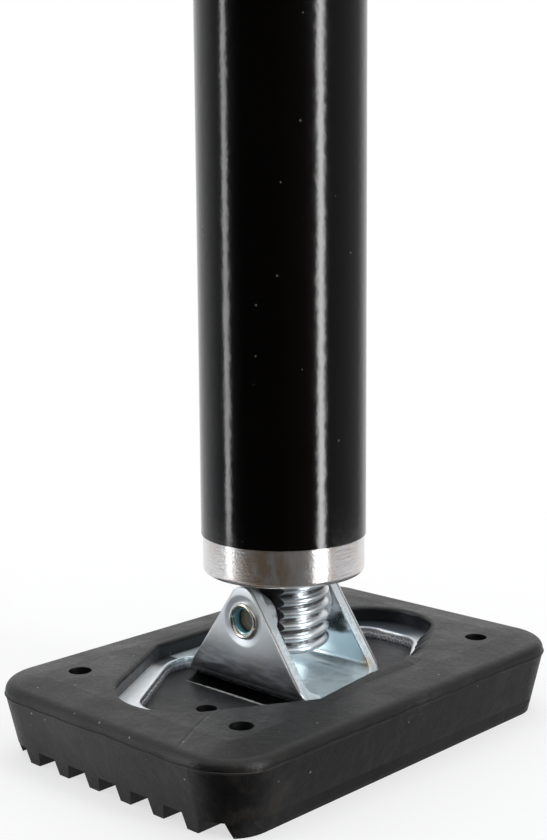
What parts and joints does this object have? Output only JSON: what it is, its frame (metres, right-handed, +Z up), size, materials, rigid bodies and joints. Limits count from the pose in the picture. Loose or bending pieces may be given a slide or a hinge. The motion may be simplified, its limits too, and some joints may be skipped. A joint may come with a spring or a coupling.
{
  "type": "adjustable steel prop",
  "caption": "Short telescopic steel prop with swivelling rubber feet, a screw spindle at the lower end and a clamp screw for the inner tube.",
  "frame": {"origin": "centre of the sole of the lower rubber foot, on the surface that the prop stands on", "axes": "+Z up along the tubes, +X along the pivot rivets and the long side of the feet, +Y across them"},
  "size_m": [0.12, 0.083, 0.6153],
  "materials": {
    "rubber": "moulded black rubber, matt",
    "zinc": "bright zinc plating",
    "turned_steel": "bare turned steel",
    "black_coat": "gloss black powder coat",
    "plastic": "black moulded plastic"
  },
  "bodies": {
    "tube": {"outer_tube": "black_coat", "collar_nut": "turned_steel", "guide_bush": "plastic", "clamp_boss": "black_coat"},
    "screw_guide": {"spindle_guide": "plastic"},
    "screw": {"spindle": "zinc", "spindle_snap_ring": "turned_steel"},
    "foot": {"foot_pad": "rubber", "foot_plate": "zinc", "foot_rivet": "zinc"},
    "extension": {"inner_tube": "zinc", "slide_ring": "plastic", "head_stem": "turned_steel"},
    "head": {"head_pad": "rubber", "head_plate": "zinc", "head_rivet": "zinc"},
    "clamp_tip": {"clamp_shoe": "plastic"},
    "clamp": {"clamp_screw": "zinc", "clamp_bar": "zinc"}
  },
  "joints": [
    {"name": "spindle_travel", "type": "slide", "parent": "tube", "child": "screw_guide", "axis": [0, 0, -1], "range_m": [0, 0.06]},
    {"name": "spindle_turn", "type": "hinge", "parent": "screw_guide", "child": "screw", "pos_m": [0, 0, 0.14], "axis": [0, 0, -1], "range_deg": [0, 7200]},
    {"name": "foot_tilt", "type": "hinge", "parent": "screw", "child": "foot", "pos_m": [0, 0, 0.0305], "axis": [1, 0, 0], "range_deg": [-60, 60]},
    {"name": "tube_extension", "type": "slide", "parent": "tube", "child": "extension", "axis": [0, 0, 1], "range_m": [0, 0.24]},
    {"name": "head_tilt", "type": "hinge", "parent": "extension", "child": "head", "pos_m": [0, 0, 0.5848], "axis": [1, 0, 0], "range_deg": [-60, 60]},
    {"name": "clamp_travel", "type": "slide", "parent": "tube", "child": "clamp_tip", "axis": [1, 0, 0], "range_m": [0, 0.003]},
    {"name": "clamp_turn", "type": "hinge", "parent": "clamp_tip", "child": "clamp", "pos_m": [0.03, 0, 0.4489], "axis": [1, 0, 0], "range_deg": [0, 720]}
  ],
  "couplings": [
    {"joint": "spindle_travel", "follows": "spindle_turn", "m_per_rad": 0.00047746},
    {"joint": "clamp_travel", "follows": "clamp_turn", "m_per_rad": 0.00023873}
  ]
}
